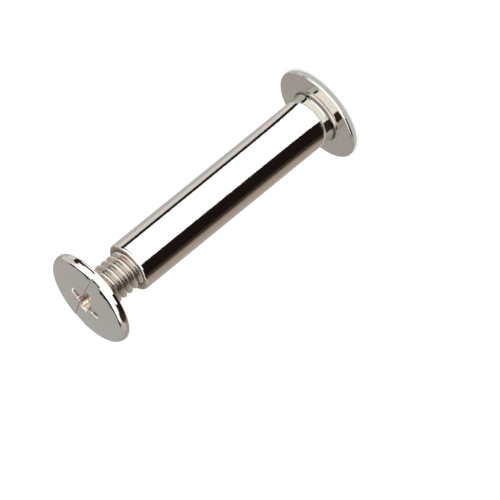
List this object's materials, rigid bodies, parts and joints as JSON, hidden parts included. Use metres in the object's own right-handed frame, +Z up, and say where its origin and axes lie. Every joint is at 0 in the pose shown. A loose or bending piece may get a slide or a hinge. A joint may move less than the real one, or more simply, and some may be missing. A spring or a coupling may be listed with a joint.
{
  "type": "binding barrel screw",
  "caption": "Binding barrel screw: a thin-headed screw part way out of a plain headed barrel, nickel plated, with a slot and cross recess in each head.",
  "frame": {"origin": "centre of the outer face of the barrel's head, on the surface that the part stands on", "axes": "+Z up the common axis of barrel and screw, from the barrel's head to the screw's head; X along the slots"},
  "size_m": [0.0096, 0.0096, 0.0301],
  "materials": {
    "nickel_plate": "bright nickel plate on steel"
  },
  "bodies": {
    "barrel": {"barrel": "nickel_plate"},
    "screw": {"screw": "nickel_plate"}
  },
  "joints": [
    {"name": "screw_travel", "type": "slide", "parent": "barrel", "child": "screw", "axis": [0, 0, 1], "range_m": [-0.0042, 0.0063]}
  ]
}
